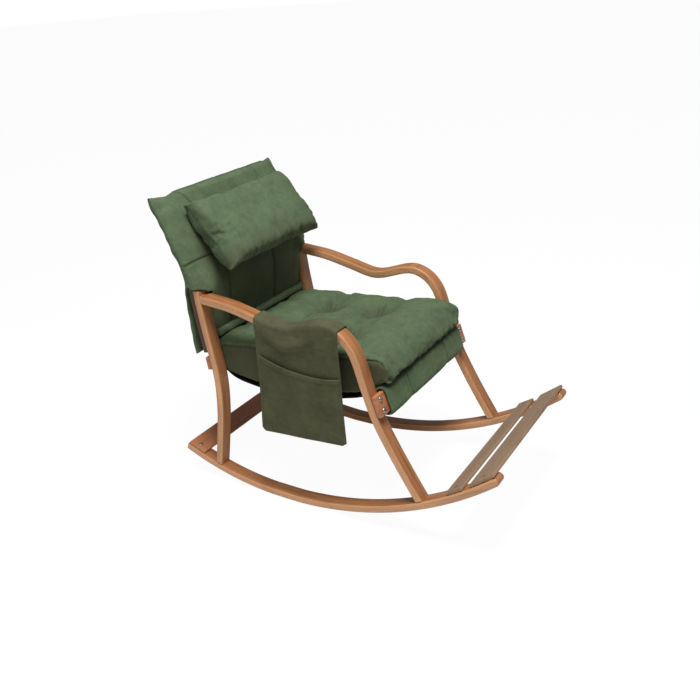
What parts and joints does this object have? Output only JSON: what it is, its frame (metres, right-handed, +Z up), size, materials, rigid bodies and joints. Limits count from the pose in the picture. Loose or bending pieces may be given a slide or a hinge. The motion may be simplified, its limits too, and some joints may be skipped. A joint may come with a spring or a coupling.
{
  "type": "rocking chair",
  "caption": "Bentwood rocking chair with a slung seat, tufted cushion, padded back cover, head pillow, arm pocket and foot slats on the rockers.",
  "frame": {"origin": "on the floor, at the centre of the chair's box in plan", "axes": "+Z up, +X to the sitter's left, the sitter faces -Y"},
  "size_m": [0.576, 1.087, 0.9196],
  "materials": {
    "wood": "satin clear lacquer over laminated beech",
    "slat_wood": "matt, slightly greyed",
    "steel": "zinc plated",
    "green_fabric": "brushed cotton",
    "pocket_fabric": "brushed cotton, olive",
    "sling_fabric": "plain dark woven cloth"
  },
  "bodies": {
    "frame": {"back_cover": "green_fabric", "back_roll": "green_fabric", "back_slat_1": "wood", "back_slat_2": "wood", "back_slat_3": "wood", "back_slat_4": "wood", "back_slat_5": "wood", "foot_slat_front": "slat_wood", "foot_slat_rear": "slat_wood", "front_rail": "wood", "left_arm_and_front_leg": "wood", "left_arm_bolt": "steel", "left_back_post": "wood", "left_back_post_bolt": "steel", "left_foot_slat_front_screw": "steel", "left_foot_slat_rear_screw": "steel", "left_front_leg_bolt": "steel", "left_front_rail_bolt_lower": "steel", "left_front_rail_bolt_upper": "steel", "left_rear_leg": "wood", "left_rear_leg_bolt": "steel", "left_rear_plank_screw": "steel", "left_rear_rail_bolt_lower": "steel", "left_rear_rail_bolt_upper": "steel", "left_rocker": "wood", "pocket_saddle": "pocket_fabric", "rear_cross_plank": "wood", "rear_rail": "wood", "right_arm_and_front_leg": "wood", "right_arm_bolt": "steel", "right_back_post": "wood", "right_back_post_bolt": "steel", "right_foot_slat_front_screw": "steel", "right_foot_slat_rear_screw": "steel", "right_front_leg_bolt": "steel", "right_front_rail_bolt_lower": "steel", "right_front_rail_bolt_upper": "steel", "right_rear_leg": "wood", "right_rear_leg_bolt": "steel", "right_rear_plank_screw": "steel", "right_rear_rail_bolt_lower": "steel", "right_rear_rail_bolt_upper": "steel", "right_rocker": "wood", "seat_cushion": "green_fabric", "seat_sling": "sling_fabric"},
    "pillow": {"head_pillow": "green_fabric"},
    "pocket": {"pocket_bag": "pocket_fabric"}
  },
  "joints": [
    {"name": "pillow_slide", "type": "slide", "parent": "frame", "child": "pillow", "axis": [0, 0.4242, 0.9056], "range_m": [-0.08, 0.02]},
    {"name": "pocket_swing", "type": "hinge", "parent": "frame", "child": "pocket", "pos_m": [-0.278, 0.03384, 0.55977], "axis": [0, 0.9969, 0.0785], "range_deg": [0, 25]}
  ]
}
